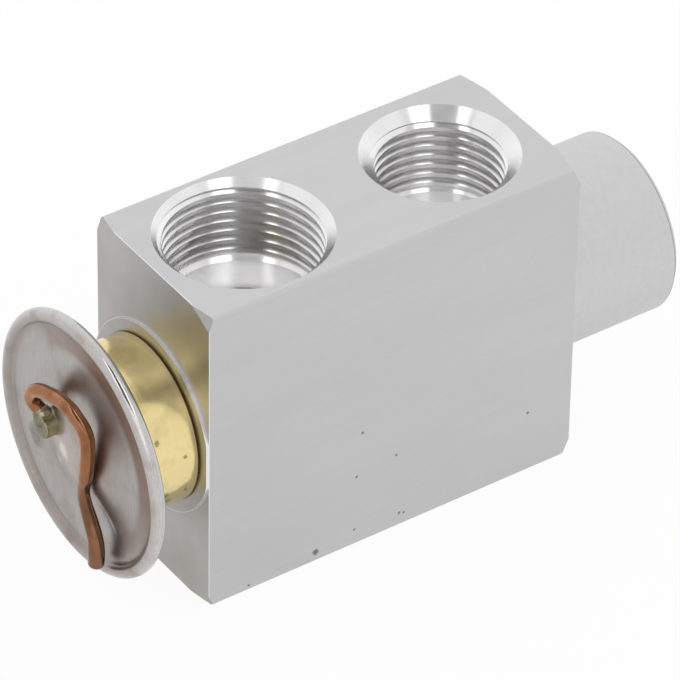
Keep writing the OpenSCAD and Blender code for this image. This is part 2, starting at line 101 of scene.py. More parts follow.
# %% [markdown]
# Sizes are read from the frame wherever a CAD piece has them, so that the new pieces fit it. The bar's axis,
# the ends of the bar and the bead round the disc are the places that most pieces refer to.

# %% Driving sizes from the frame
block_low, block_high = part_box("valve_block")
AXIS_Z = (block_low.z + block_high.z) / 2
FRONT_Y = block_low.y
TOP_Z = block_high.z
BAR_END_X = 34.9 * MM

BEAD_R = 1.2 * MM
RIM_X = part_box("head_base")[1].x - BEAD_R
RIM_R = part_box("head_cover")[1].y - BEAD_R
DOME_TOP_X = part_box("head_cover")[0].x
NECK_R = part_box("head_neck")[1].y
for label, size in (("Axis height", AXIS_Z), ("Rim radius", RIM_R), ("Neck radius", NECK_R)):
    print(label, round(size / MM, 2), "mm")

# %% [markdown]
# Most of the new pieces are round about the bar's axis. A lathe makes them in the workshop, and here a ring
# of points is extruded and scaled along the axis, one step for each point of the outline. An outline that
# comes back to its start makes a closed ring, and one that starts and ends at radius zero is closed at its
# two poles.

# %% Turned pieces
def select_only(piece):
    bpy.ops.object.select_all(action="DESELECT")
    piece.select_set(True)
    bpy.context.view_layer.objects.active = piece


def apply_place():
    bpy.ops.object.transform_apply(location=True, rotation=True, scale=True)


@contextmanager
def edit_mode():
    bpy.ops.object.mode_set(mode="EDIT")
    yield
    bpy.ops.object.mode_set(mode="OBJECT")


def tidy_mesh(piece, smooth_angle=35):
    """Merges doubled points, turns the faces outwards and shades the round stretches smooth."""
    select_only(piece)
    with edit_mode():
        bpy.ops.mesh.select_all(action="SELECT")
        bpy.ops.mesh.remove_doubles(threshold=0.001 * MM)
        bpy.ops.mesh.normals_make_consistent(inside=False)
    bpy.ops.object.shade_smooth_by_angle(angle=math.radians(smooth_angle))


def turn_piece(name, outline, centre_y=0, centre_z=AXIS_Z, sides=144):
    """Turns a row of (x, radius) about a line along X. The row starts away from that line."""
    bpy.ops.object.select_all(action="DESELECT")
    bpy.ops.mesh.primitive_circle_add(
        vertices=sides,
        radius=outline[0][1],
        location=(outline[0][0], centre_y, centre_z),
        rotation=(0, math.radians(90), 0),
    )
    piece = bpy.context.object
    piece.name = name
    apply_place()
    with edit_mode():
        bpy.ops.mesh.select_all(action="SELECT")
        for (x0, r0), (x1, r1) in zip(outline, outline[1:]):
            bpy.ops.mesh.extrude_region_move(TRANSFORM_OT_translate={"value": (x1 - x0, 0, 0)})
            bpy.ops.transform.resize(value=(1, r1 / r0, r1 / r0), center_override=(x1, centre_y, centre_z))
    return piece


def apply_modifier(piece, kind, **settings):
    select_only(piece)
    step = piece.modifiers.new(kind.lower(), kind)
    for name, value in settings.items():
        setattr(step, name, value)
    bpy.ops.object.modifier_apply(modifier=step.name)


def arc(centre_x, centre_r, radius, start, end, steps):
    """Points of an arc. Zero degrees points to the front, at -X, and 90 degrees away from the axis."""
    angles = [math.radians(start + (end - start) * i / steps) for i in range(steps + 1)]
    return [(centre_x - radius * math.cos(a), centre_r + radius * math.sin(a)) for a in angles]


# %% [markdown]
# The disc of the power head is two steel stampings. The upper one has a shallow dome in the middle, a flat
# round it and a rolled bead at the rim. A cosine gives the dome a soft foot and a soft top, and a small
# concave fillet leads from the flat into the bead. The tiny hole that is left at each pole is merged to one
# point.

# %% Upper stamping of the disc
SHEET = 0.6 * MM
FLAT_X = RIM_X - 0.275 * MM
DOME_R = 14.3 * MM
DOME_H = FLAT_X - DOME_TOP_X
POLE_R = 0.02 * MM
BEAD_FILLET = 0.7 * MM
# Degrees at which the bead's arc starts and meets the lower stamping, and the fillet's corner in bead radii
BEAD_START_ANGLE = -52
SEAM_ANGLE = 104
FILLET_CORNER = 0.97
DOME_STEPS = 22
BEAD_STEPS = 26
FILLET_STEPS = 6


def dome_height(radius):
    return DOME_H * (1 + math.cos(math.pi * radius / DOME_R)) / 2 if radius < DOME_R else 0


def close_poles(piece, centre_y=0, centre_z=AXIS_Z):
    """Merges the smallest rings, at radius POLE_R, to one point each."""
    select_only(piece)
    with edit_mode():
        bpy.ops.mesh.select_all(action="DESELECT")
    for point in piece.data.vertices:
        point.select = math.hypot(point.co.y - centre_y, point.co.z - centre_z) < 2 * POLE_R
    with edit_mode():
        bpy.ops.mesh.remove_doubles(threshold=3 * POLE_R)


def make_cover():
    radii = [POLE_R] + [DOME_R * i / DOME_STEPS for i in range(1, DOME_STEPS + 1)]
    flat_end = RIM_R - BEAD_R - BEAD_FILLET
    bead = arc(RIM_X, RIM_R, BEAD_R, BEAD_START_ANGLE, SEAM_ANGLE, BEAD_STEPS)
    bend = [(FLAT_X, flat_end), (FLAT_X, RIM_R - BEAD_R * FILLET_CORNER), bead[0]]
    fillet = []
    for i in range(1, FILLET_STEPS):
        u = i / FILLET_STEPS
        weights = [(1 - u) ** 2, 2 * u * (1 - u), u ** 2]
        fillet.append(tuple(sum(w * p[k] for w, p in zip(weights, bend)) for k in range(2)))
    outside = [(FLAT_X - dome_height(r), r) for r in radii] + [(FLAT_X, flat_end)] + fillet + bead
    inside = [(FLAT_X + SHEET - dome_height(r), r) for r in reversed(radii)]
    piece = turn_piece("disc_cover", outside + inside)
    close_poles(piece)
    tidy_mesh(piece)
    return piece


disc_cover = make_cover()
print("Disc cover:", len(disc_cover.data.polygons), "faces")

# %% [markdown]
# The lower stamping closes the bead from behind and ends at the brass neck. It is a flat ring, so its outline
# returns to its first point. The bead's end runs on inside the sheet's back.

# %% Lower stamping of the disc
BASE_BACK_X = RIM_X + 1.075 * MM
BASE_FRONT_X = BASE_BACK_X - SHEET
BASE_INNER_R = 13 * MM
# Degrees that the bead's arc runs on behind the back, and its steps from the seam on
BEAD_TUCK = 62
BEAD_BACK_STEPS = 14


def make_base():
    back_angle = 180 - math.degrees(math.asin((RIM_X + BEAD_R - BASE_BACK_X) / BEAD_R))
    bead = arc(RIM_X, RIM_R, BEAD_R, SEAM_ANGLE, back_angle + BEAD_TUCK, BEAD_BACK_STEPS)
    inner = [(BASE_BACK_X, BASE_INNER_R), (BASE_FRONT_X, BASE_INNER_R)]
    outline = bead + [(BASE_BACK_X, RIM_R - BEAD_R)] + inner + [bead[0]]
    piece = turn_piece("disc_base", outline)
    tidy_mesh(piece)
    return piece


disc_base = make_base()
print("Disc base:", len(disc_base.data.polygons), "faces")

# %% [markdown]
# The charge tube is a short copper capillary. It comes out of the side of a stub on the dome, bends round in
# a loop, runs down across the disc and is pinched shut. Its route is the row of places that the CAD model
# also has. A smooth curve through them is given a round section, and its radius swells and narrows where it
# was pinched.

# %% Charge tube
TUBE_R = 1.2 * MM
TUBE_GAP = 0.02 * MM
STUB_Y = 6.0 * MM
STUB_Z = 1.0 * MM
# Height of the underside over the dome's top, places across and up, in millimetres, and share of the radius
TUBE_ROUTE = [
    (-0.87, 6.7, 2.2, 0.9), (-0.72, 7.35, 3.2, 1.0), (0.0, 8.2, 4.6, 1.0), (0.35, 8.15, 5.7, 1.0),
    (0.45, 7.5, 6.95, 1.0), (0.4, 6.5, 8.0, 1.0), (0.3, 5.1, 8.8, 1.0), (0.15, 3.3, 9.35, 1.0),
    (0.0, 1.3, 9.85, 1.0), (-0.2, -0.6, 9.85, 1.0), (-0.4, -2.2, 9.55, 1.0), (-0.5, -3.4, 8.95, 1.0),
    (-0.7, -4.7, 8.1, 1.0), (-0.8, -5.6, 7.15, 1.0), (-0.83, -6.12, 5.85, 1.0), (-0.75, -6.35, 4.4, 1.0),
    (-0.65, -6.4, 2.6, 1.0), (-0.6, -5.9, -1.1, 0.98), (-0.8, -5.0, -3.6, 0.88), (-1.0, -4.6, -5.6, 0.84),
    (-1.2, -4.9, -7.8, 0.88), (-1.4, -5.9, -10.5, 1.0), (-1.3, -7.3, -12.9, 1.05), (-1.3, -7.6, -15.6, 1.15),
    (-1.4, -7.3, -18.0, 1.1), (-1.4, -7.1, -18.8, 0.55),
]
# Steps along the tube between two places, and the fineness of its round section
TUBE_STEPS = 6
TUBE_SIDES = 6


def make_tube():
    bpy.ops.object.select_all(action="DESELECT")
    bpy.ops.curve.primitive_bezier_curve_add()
    path = bpy.context.object
    path.name = "charge_tube_path"
    spline = path.data.splines[0]
    spline.bezier_points.add(len(TUBE_ROUTE) - len(spline.bezier_points))
    for point, (height, across, up, share) in zip(spline.bezier_points, TUBE_ROUTE):
        x = DOME_TOP_X - height * MM - TUBE_R - TUBE_GAP
        point.co = (x, across * MM, AXIS_Z + up * MM)
        point.radius = share
        point.handle_left_type = point.handle_right_type = "AUTO"
    path.data.resolution_u = TUBE_STEPS
    path.data.bevel_depth = TUBE_R
    path.data.bevel_resolution = TUBE_SIDES
    path.data.use_fill_caps = True
    select_only(path)
    bpy.ops.object.convert(target="MESH")
    piece = bpy.context.object
    piece.name = "charge_tube_skin"
    tidy_mesh(piece, 60)
    return piece


charge_tube = make_tube()
print("Charge tube:", len(charge_tube.data.polygons), "faces")

# %% [markdown]
# The stub is a short pin that stands on the dome, and braze has run round its foot and round the root of the
# tube. The pin is turned with a rounded end and a concave foot, and a second turned cone wraps the tube.
# Remeshing them together in fine voxels and smoothing the result gives the soft lump that braze leaves.

# %% Brazed stub
STUB_R = 2.1 * MM
STUB_OUT = 1.6 * MM
STUB_FOOT_R = 2.9 * MM
STUB_FOOT_H = 0.35 * MM
STUB_FILLET_H = 1.5 * MM
STUB_FILLET_STEPS = 10
STUB_ROUND_R = 0.55 * MM
LUMP_R = 1.5 * MM
LUMP_REACH = 3.0 * MM
# The cone is this much wider at the root, and narrows only slowly up to this share of its reach
LUMP_FOOT = 1.1
LUMP_SHOULDER = 0.75
BRAZE_VOXEL = 0.1 * MM
BRAZE_SMOOTHING = 14


def make_collar():
    end_x = DOME_TOP_X - STUB_OUT
    foot_x = FLAT_X - STUB_FOOT_H
    outline = [(foot_x, POLE_R), (foot_x, STUB_FOOT_R)]
    for i in range(1, STUB_FILLET_STEPS + 1):
        u = i / STUB_FILLET_STEPS
        outline.append((foot_x - STUB_FILLET_H * u, STUB_R + (STUB_FOOT_R - STUB_R) * (1 - u) ** 2))
    outline += arc(end_x + STUB_ROUND_R, STUB_R - STUB_ROUND_R, STUB_ROUND_R, 90, 0, 6)
    outline.append((end_x, POLE_R))
    piece = turn_piece("braze_collar", outline, STUB_Y, AXIS_Z + STUB_Z, 64)
    close_poles(piece, STUB_Y, AXIS_Z + STUB_Z)
    tube_way = Vector((0, TUBE_ROUTE[2][1] * MM - STUB_Y, TUBE_ROUTE[2][2] * MM - STUB_Z)).normalized()
    cone = [
        (0, POLE_R), (0, LUMP_R * LUMP_FOOT), (-LUMP_REACH * LUMP_SHOULDER, LUMP_R), (-LUMP_REACH, TUBE_R),
        (-LUMP_REACH, POLE_R),
    ]
    lump = turn_piece("braze_lump", cone, 0, 0, 48)
    close_poles(lump, 0, 0)
    lean = Vector((-1, 0, 0)).rotation_difference(tube_way)
    root_x = DOME_TOP_X - TUBE_ROUTE[0][0] * MM - TUBE_R - TUBE_GAP
    root = Vector((root_x, STUB_Y, AXIS_Z + STUB_Z))
    lump.matrix_world = Matrix.Translation(root) @ lean.to_matrix().to_4x4()
    select_only(lump)
    piece.select_set(True)
    bpy.context.view_layer.objects.active = piece
    bpy.ops.object.join()
    apply_place()
    apply_modifier(piece, "REMESH", mode="VOXEL", voxel_size=BRAZE_VOXEL)
    apply_modifier(piece, "SMOOTH", factor=0.5, iterations=BRAZE_SMOOTHING)
    tidy_mesh(piece, 180)
    return piece


braze_collar = make_collar()
print("Brazed stub:", len(braze_collar.data.polygons), "faces")

# %% [markdown]
# Each port has an internal thread of 14 turns to the inch. The CAD wall is at the thread's major diameter, so
# the thread itself is one long ridge that stands on that wall. Its section starts as a plane, whose inner
# edge is narrowed, and the Screw modifier winds it down the bore. The mouth's chamfer is then taken off with
# a cone. The lower ports get a copy of the ridge turned half round about the bar's axis, which keeps it
# right-handed.

# %% Port threads
PITCH = 25.4 / 14 * MM
THREAD_START = 0.6 * MM
RIDGE_BITE = 0.03 * MM
CREST_WIDTH = 0.72 * MM
FLANK_SLOPE = math.tan(math.radians(30))
SUCTION_X = -18.1 * MM
SUCTION_THREAD_R = 13.5 * MM
SUCTION_MOUTH_R = 14.35 * MM
SUCTION_CHAMFER_H = 0.9 * MM
SUCTION_THREAD_DEPTH = 14.44 * MM
LIQUID_X = 19.0 * MM
LIQUID_THREAD_R = 11.1 * MM
LIQUID_MOUTH_R = 12.9 * MM
LIQUID_CHAMFER_H = 1.8 * MM
LIQUID_THREAD_DEPTH = 14.98 * MM
RIDGE_H = 0.75 * MM
STEPS_PER_TURN = 96
# The mouth's cone reaches inwards by this many ridge heights, and stands this far out of the port
CONE_PAST_RIDGE = 1.2
CONE_OVERSHOOT = 2 * MM


def wind_ridge(name, wall_r, thread_depth):
    """A closed helical ridge about the Z axis, from thread_depth to THREAD_START below zero."""
    turns = (thread_depth - THREAD_START) / PITCH
    base_width = CREST_WIDTH + 2 * (RIDGE_H + RIDGE_BITE) * FLANK_SLOPE
    section_w = RIDGE_H + RIDGE_BITE
    bpy.ops.object.select_all(action="DESELECT")
    bpy.ops.mesh.primitive_plane_add(
        size=1,
        location=(wall_r + RIDGE_BITE - section_w / 2, 0, -thread_depth + base_width / 2),
        rotation=(math.radians(90), 0, 0),
    )
    ridge = bpy.context.object
    ridge.name = name
    ridge.scale = (section_w, base_width, 1)
    apply_place()
    for point in ridge.data.vertices:
        point.select = point.co.x < wall_r - RIDGE_H / 2
    for edge in ridge.data.edges:
        edge.select = all(ridge.data.vertices[v].select for v in edge.vertices)
    for face in ridge.data.polygons:
        face.select = False
    with edit_mode():
        bpy.ops.transform.resize(
            value=(1, 1, CREST_WIDTH / base_width),
            center_override=(wall_r - RIDGE_H, 0, -thread_depth + base_width / 2),
        )
        bpy.ops.mesh.select_all(action="SELECT")
        bpy.ops.mesh.delete(type="ONLY_FACE")
    steps = round(STEPS_PER_TURN * turns)
    apply_modifier(
        ridge, "SCREW", axis="Z", angle=2 * math.pi * turns, screw_offset=PITCH * turns, steps=steps,
        render_steps=steps, use_merge_vertices=False,
    )
    with edit_mode():
        bpy.ops.mesh.select_all(action="DESELECT")
        bpy.ops.mesh.select_non_manifold()
        bpy.ops.mesh.edge_face_add()
    return ridge


def cut_mouth(ridge, wall_r, mouth_r, chamfer_h):
    """Takes the mouth's cone, drawn on past the wall, off the upper turns of the ridge."""
    slope = (mouth_r - wall_r) / chamfer_h
    tip = chamfer_h + CONE_PAST_RIDGE * RIDGE_H / slope
    bpy.ops.mesh.primitive_cone_add(
        vertices=144,
        radius1=wall_r - CONE_PAST_RIDGE * RIDGE_H,
        radius2=mouth_r + CONE_OVERSHOOT * slope,
        depth=tip + CONE_OVERSHOOT,
        location=(0, 0, (CONE_OVERSHOOT - tip) / 2),
    )
    cone = bpy.context.object
    apply_modifier(ridge, "BOOLEAN", operation="DIFFERENCE", solver="EXACT", object=cone)
    bpy.data.objects.remove(cone)


def place_ridge(piece, x, turned_over):
    select_only(piece)
    turn = Matrix.Rotation(math.pi, 4, "X") if turned_over else Matrix.Translation((0, 0, TOP_Z))
    piece.matrix_world = Matrix.Translation((x, 0, 0)) @ turn
    apply_place()


def make_threads(name, x, wall_r, mouth_r, chamfer_h, thread_depth):
    upper = wind_ridge(name + "_upper", wall_r, thread_depth)
    tidy_mesh(upper)
    cut_mouth(upper, wall_r, mouth_r, chamfer_h)
    tidy_mesh(upper)
    lower = upper.copy()
    lower.data = upper.data.copy()
    lower.name = name + "_lower"
    bpy.context.scene.collection.objects.link(lower)
    place_ridge(upper, x, False)
    place_ridge(lower, x, True)
    return [upper, lower]


suction_threads = make_threads(
    "suction_thread", SUCTION_X, SUCTION_THREAD_R, SUCTION_MOUTH_R, SUCTION_CHAMFER_H, SUCTION_THREAD_DEPTH,
)
liquid_threads = make_threads(
    "liquid_thread", LIQUID_X, LIQUID_THREAD_R, LIQUID_MOUTH_R, LIQUID_CHAMFER_H, LIQUID_THREAD_DEPTH,
)
for ridge in suction_threads + liquid_threads:
    heights = [round(point.co.z / MM, 2) for point in ridge.data.vertices]
    print(ridge.name, len(ridge.data.polygons), "faces, z", min(heights), "to", max(heights), "mm")

# %% [markdown]
# Every new piece rides on the body of the CAD piece that it dresses, and a CAD node that it replaces is
# hidden. The threads replace nothing, because they stand on the block's own wall.

# %% Rides and replacements
for piece, slot_name in (
    (disc_cover, "head_steel"),
    (disc_base, "head_steel"),
    (charge_tube, "tube_copper"),
    (braze_collar, "braze"),
    *((ridge, "block_aluminium") for ridge in suction_threads + liquid_threads),
):
    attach(piece, "valve_body")
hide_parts("head_cover")
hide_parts("head_base")
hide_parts("charge_tube")
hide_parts("tube_collar")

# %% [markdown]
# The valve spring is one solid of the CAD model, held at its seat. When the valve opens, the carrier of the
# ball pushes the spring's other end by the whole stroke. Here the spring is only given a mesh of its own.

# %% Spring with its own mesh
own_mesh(frame["nodes"]["valve_spring"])

# %% [markdown]
# Most nodes of a finish only do a small sum. Each helper below adds a node or two, links what is a socket and
# sets what is a plain value, so that a recipe reads like a formula. The Map Range node, called spread here,
# does most of the work: it turns one range of values into another and stops at its ends.

# %% Helpers that add a node
ALONG_BAR = (1, 0, 0)
UPWARDS = (0, 0, 1)
FROM_AXIS = (0, 1, 1)
ON_AXIS = (0, 0, AXIS_Z)


def feed(tree, socket, source):
    """Links the source to the socket, or sets it there where it is a plain value."""
    if isinstance(source, bpy.types.NodeSocket):
        tree.links.new(source, socket)
    elif source is not None:
        socket.default_value = source


def vector_math(tree, operation, first, second=None):
    made = tree.nodes.new("ShaderNodeVectorMath")
    made.operation = operation
    for socket, source in zip(made.inputs, (first, second)):
        feed(tree, socket, source)
    return made.outputs["Value" if operation in ("DOT_PRODUCT", "LENGTH") else "Vector"]


def number_math(tree, operation, first, second=None):
    made = tree.nodes.new("ShaderNodeMath")
    made.operation = operation
    for socket, source in zip(made.inputs, (first, second)):
        feed(tree, socket, source)
    return made.outputs[0]


def length_of(tree, vector, weights):
    """Length of a vector after each direction got its weight. A weight of zero leaves that direction out."""
    return vector_math(tree, "LENGTH", vector_math(tree, "MULTIPLY", vector, weights))


def spread(tree, value, low_in, high_in, low_out, high_out):
    made = tree.nodes.new("ShaderNodeMapRange")
    labels = ("Value", "From Min", "From Max", "To Min", "To Max")
    for label, source in zip(labels, (value, low_in, high_in, low_out, high_out)):
        feed(tree, made.inputs[label], source)
    return made.outputs["Result"]


def band(tree, value, rise, fall, strength=1.0):
    """Goes up to the strength between the two values of rise, and down again between those of fall."""
    up = spread(tree, value, *rise, 0.0, strength)
    return number_math(tree, "MULTIPLY", up, spread(tree, value, *fall, 1.0, 0.0))


def mix_colour(tree, share, first, second, kind="RGBA"):
    """The first where the share is 0, the second where it is 1, and a mixture between."""
    made = tree.nodes.new("ShaderNodeMix")
    made.data_type = kind
    sockets = [socket for socket in made.inputs if socket.enabled]
    for socket, source in zip(sockets, (share, first, second)):
        feed(tree, socket, (*source, 1) if isinstance(source, tuple) else source)
    return next(socket for socket in made.outputs if socket.enabled)


def mix_values(tree, share, first, second):
    return mix_colour(tree, share, first, second, kind="FLOAT")


def mix_shaders(tree, share, first, second):
    made = tree.nodes.new("ShaderNodeMixShader")
    for socket, source in zip(made.inputs, (share, first, second)):
        feed(tree, socket, source)
    return made.outputs[0]


def ramp_colour(tree, value, stops):
    made = tree.nodes.new("ShaderNodeValToRGB")
    elements = made.color_ramp.elements
    while len(elements) < len(stops):
        elements.new(0.5)
    for element, (position, colour) in zip(elements, stops):
        element.position = position
        element.color = (*colour, 1)
    feed(tree, made.inputs["Fac"], value)
    return made.outputs["Color"]


def add_noise(tree, dimensions="3D", **values):
    made = tree.nodes.new("ShaderNodeTexNoise")
    made.noise_dimensions = dimensions
    for label, source in values.items():
        feed(tree, made.inputs[label], source)
    return made.outputs[0]


# %% [markdown]
# The finishes share three effects, and each is a node group. Soft noise gives streaks, clouds and mottling,
# depending on how its space is stretched. Turning marks are noise that varies only with the distance from an
# axis, which is the bar's unless another is given, and the place along it, as a tool leaves it. A spot is a
# round stain or pit with a ragged edge.

# %% Node groups for the finishes
# Nearly all of a noise lies between these two values
NOISE_RANGE = (0.3, 0.7)
# How fast the turning marks change along the axis, against their change away from it
MARK_LEAN = 0.83
# Lumps of the ragged edge in one radius of a spot, and the share of the radius at which it starts to fade
SPOT_LUMPS = 1.5
SPOT_CORE = 0.5


def new_group(name, **inputs):
    group = bpy.data.node_groups.new(name, "ShaderNodeTree")
    for label, value in inputs.items():
        kind = "NodeSocketVector" if isinstance(value, tuple) else "NodeSocketFloat"
        group.interface.new_socket(label, in_out="INPUT", socket_type=kind).default_value = value
    group.interface.new_socket("Value", in_out="OUTPUT", socket_type="NodeSocketFloat")
    given = group.nodes.new("NodeGroupInput").outputs
    return group, given, group.nodes.new("NodeGroupOutput").inputs["Value"]


def make_soft_noise():
    group, given, result = new_group(
        "Soft noise", Vector=(0, 0, 0), Stretch=(100, 100, 100), Detail=3.0, Low=0.0, High=1.0,
    )
    stretched = vector_math(group, "MULTIPLY", given["Vector"], given["Stretch"])
    noise = add_noise(group, Vector=stretched, Scale=1.0, Detail=given["Detail"])
    feed(group, result, spread(group, noise, *NOISE_RANGE, given["Low"], given["High"]))
    return group


def make_turning_marks():
    group, given, result = new_group(
        "Turning marks", Vector=(0, 0, 0), Centre=ON_AXIS, Across=FROM_AXIS, Along=ALONG_BAR, Fineness=5000.0,
    )
    moved = vector_math(group, "SUBTRACT", given["Vector"], given["Centre"])
    along = vector_math(group, "DOT_PRODUCT", moved, given["Along"])
    leaning = number_math(group, "MULTIPLY", along, MARK_LEAN)
    place = number_math(group, "ADD", length_of(group, moved, given["Across"]), leaning)
    fine = number_math(group, "MULTIPLY", place, given["Fineness"])
    noise = add_noise(group, "1D", W=fine, Scale=1.0, Detail=3.0)
    feed(group, result, spread(group, noise, *NOISE_RANGE, 0.0, 1.0))
    return group


def make_spot():
    group, given, result = new_group(
        "Spot", Vector=(0, 0, 0), Centre=(0, 0, 0), Stretch=(1, 1, 1), Radius=0.001, Ragged=0.4, Strength=1.0,
    )
    moved = vector_math(group, "SUBTRACT", given["Vector"], given["Centre"])
    share = number_math(group, "DIVIDE", length_of(group, moved, given["Stretch"]), given["Radius"])
    lumps = number_math(group, "DIVIDE", SPOT_LUMPS, given["Radius"])
    noise = add_noise(group, Vector=given["Vector"], Scale=lumps, Detail=3.0)
    waver = number_math(group, "MULTIPLY", number_math(group, "SUBTRACT", noise, 0.5), given["Ragged"])
    edge = number_math(group, "ADD", share, waver)
    feed(group, result, spread(group, edge, SPOT_CORE, 1.0, given["Strength"], 0.0))
    return group


SOFT_NOISE = make_soft_noise()
TURNING_MARKS = make_turning_marks()
SPOT = make_spot()
print("Groups:", [group.name for group in bpy.data.node_groups])

# %% [markdown]
# A finish is a Principled BSDF whose colour, roughness and bump come from those groups. The helpers below
# start a material, place a group with its inputs set, link what was made, and stretch the highlights across
# fine tool marks. The bare numbers of a recipe are shares: how much of a mask or a colour is used.

# %% Helpers for a finish
HIGHLIGHT_STRETCH = 0.9


def start_finish(name, metallic=1.0):
    material = bpy.data.materials.new(name)
    material.use_nodes = True
    tree = material.node_tree
    shader = tree.nodes["Principled BSDF"]
    shader.inputs["Metallic"].default_value = metallic
    place = tree.nodes.new("ShaderNodeTexCoord").outputs["Object"]
    return material, tree, shader, place


def use_group(tree, group, vector, **values):
    made = tree.nodes.new("ShaderNodeGroup")
    made.node_tree = group
    for label, source in {"Vector": vector, **values}.items():
        feed(tree, made.inputs[label], source)
    return made.outputs["Value"]


def dress(tree, shader, colour, mask, smoothest, roughest, depth=0.0, strength=1.0, relief=None):
    """Links a colour, the roughness that the mask gives, and a bump of the relief, or else of the mask."""
    feed(tree, shader.inputs["Base Color"], colour)
    feed(tree, shader.inputs["Roughness"], spread(tree, mask, 0.0, 1.0, smoothest, roughest))
    if depth:
        bump = tree.nodes.new("ShaderNodeBump")
        height = mask if relief is None else relief
        for label, source in (("Strength", strength), ("Distance", depth), ("Height", height)):
            feed(tree, bump.inputs[label], source)
        feed(tree, shader.inputs["Normal"], bump.outputs["Normal"])


def stretch_highlight(tree, shader, across_marks):
    """Spreads reflections in the direction across_marks, as fine grooves that run the other way do."""
    direction = tree.nodes.new("ShaderNodeCombineXYZ")
    for socket, value in zip(direction.inputs, across_marks):
        feed(tree, socket, value)
    feed(tree, shader.inputs["Tangent"], direction.outputs[0])
    shader.inputs["Anisotropic"].default_value = HIGHLIGHT_STRETCH


# %% [markdown]
# The long faces of the bar are as drawn: satin, with fine lines along the bar, faint slanting stains and a
# few dark pits near the lower front edge. A painted highlight runs along the edge at the end face. The
# lines are noise that is stretched along X, and drive both the roughness and a very small bump. The pits are
# spots at places on the front face, given as distances along the bar and up.

# %% Drawn aluminium
DRAWN_GREY = (0.64, 0.635, 0.64)
STAIN_GREY = (0.56, 0.55, 0.55)
PIT_GREY = (0.16, 0.16, 0.17)
# Painted highlight for the edges that catch the light
EDGE_HIGHLIGHT = (0.95, 0.95, 0.95)
# Distances from the end face between which the painted edge highlight fades out
EDGE_HIGHLIGHT_FADE = (0.06 * MM, 0.22 * MM)
# Place along the bar, height and radius of each pit on the front face, in millimetres
FRONT_PITS = [
    (-14.6, 2.0, 0.75), (-6.9, 13.9, 0.3), (1.5, 2.7, 0.35), (2.4, 2.4, 0.3), (-27.3, 1.1, 0.3),
    (-5.9, 22.4, 0.35), (0.7, 14.9, 0.3), (26.4, 12.0, 0.35), (-7.2, 3.2, 0.3),
]


def make_drawn_aluminium():
    material, tree, shader, place = start_finish("drawn_aluminium")
    lines = use_group(tree, SOFT_NOISE, place, Stretch=(40, 6500, 6500), Detail=4.0)
    broad = use_group(tree, SOFT_NOISE, place, Stretch=(12, 900, 900), Detail=2.0)
    clouds = use_group(tree, SOFT_NOISE, place, Stretch=(45, 160, 110), Detail=2.0, High=0.25)
    grain = use_group(tree, SOFT_NOISE, place, Stretch=(1500, 2600, 2600))
    colour = mix_colour(tree, clouds, DRAWN_GREY, STAIN_GREY)
    line_tone = number_math(tree, "MULTIPLY", number_math(tree, "ADD", lines, grain), 0.14)
    colour = mix_colour(tree, line_tone, colour, STAIN_GREY)
    from_end = number_math(tree, "ADD", vector_math(tree, "DOT_PRODUCT", place, ALONG_BAR), BAR_END_X)
    # Painted highlight along the edge at the end face
    colour = mix_colour(tree, spread(tree, from_end, *EDGE_HIGHLIGHT_FADE, 0.9, 0.0), colour, EDGE_HIGHLIGHT)
    for along, up, radius in FRONT_PITS:
        centre = (along * MM, FRONT_Y, up * MM)
        pit = use_group(tree, SPOT, place, Centre=centre, Radius=radius * MM, Ragged=0.7, Strength=0.85)
        colour = mix_colour(tree, pit, colour, PIT_GREY)
    both = mix_values(tree, 0.4, lines, broad)
    dress(tree, shader, colour, both, 0.34, 0.46, depth=0.004 * MM, strength=0.5)
    return material


drawn_aluminium = make_drawn_aluminium()

# %% [markdown]
# The ports are machined, so they are far brighter than the drawn faces and reflect in upright bands. Their
# turning marks run round the port's own axis, and spread each reflection up and down the wall. Two finishes
# are needed, one for each axis, and the threads share them.

# %% Machined ports
MACHINED_GREY = (0.94, 0.935, 0.94)
CUT_GREY = (0.88, 0.87, 0.875)


def make_machined(name, x):
    material, tree, shader, place = start_finish(name)
    marks = use_group(tree, TURNING_MARKS, place, Centre=(x, 0, AXIS_Z), Across=(1, 1, 0), Along=UPWARDS)
    haze = use_group(tree, SOFT_NOISE, place, Stretch=(350, 350, 350))
    colour = mix_colour(tree, number_math(tree, "MULTIPLY", marks, 0.5), MACHINED_GREY, CUT_GREY)
    both = mix_values(tree, 0.5, marks, haze)
    dress(tree, shader, colour, both, 0.17, 0.26, depth=0.003 * MM, strength=0.4, relief=marks)
    stretch_highlight(tree, shader, UPWARDS)
    return material


machined_suction = make_machined("machined_suction_port", SUCTION_X)
machined_liquid = make_machined("machined_liquid_port", LIQUID_X)

# %% [markdown]
# The end face, the corner cuts and the shoulder were faced on a lathe, so their marks are rings about the
# bar's axis. A painted contact shadow lies round the neck, and a painted highlight on the edge of the raised
# land. The boss was turned too, but then it was left matt, with a faint mottling and a painted dark
# reflection near its end.

# %% Faced ends and boss
FACED_GREY = (0.52, 0.505, 0.49)
FACED_DARK = (0.45, 0.43, 0.415)
# Painted contact shadow round the neck, and how far it reaches
CONTACT_SHADE = (0.14, 0.10, 0.07)
CONTACT_SHADE_WIDTH = 0.15 * MM
LAND_R = 16.2 * MM
# Radii between which the painted highlight on the land's edge comes up, and those between which it goes
LAND_HIGHLIGHT_RISE = (LAND_R - 0.16 * MM, LAND_R - 0.06 * MM)
LAND_HIGHLIGHT_FALL = (LAND_R, LAND_R + 0.06 * MM)
BOSS_GREY = (0.67, 0.665, 0.67)
BOSS_DARK = (0.65, 0.645, 0.65)
# Painted dark reflection, a line near the boss's end by its chamfer
BOSS_DARK_REFLECTION = (0.30, 0.30, 0.30)
BOSS_REFLECTION_X = 55.2 * MM
# Distances from the middle of the painted dark reflection between which it fades out
BOSS_REFLECTION_FADE = (0.05 * MM, 0.2 * MM)


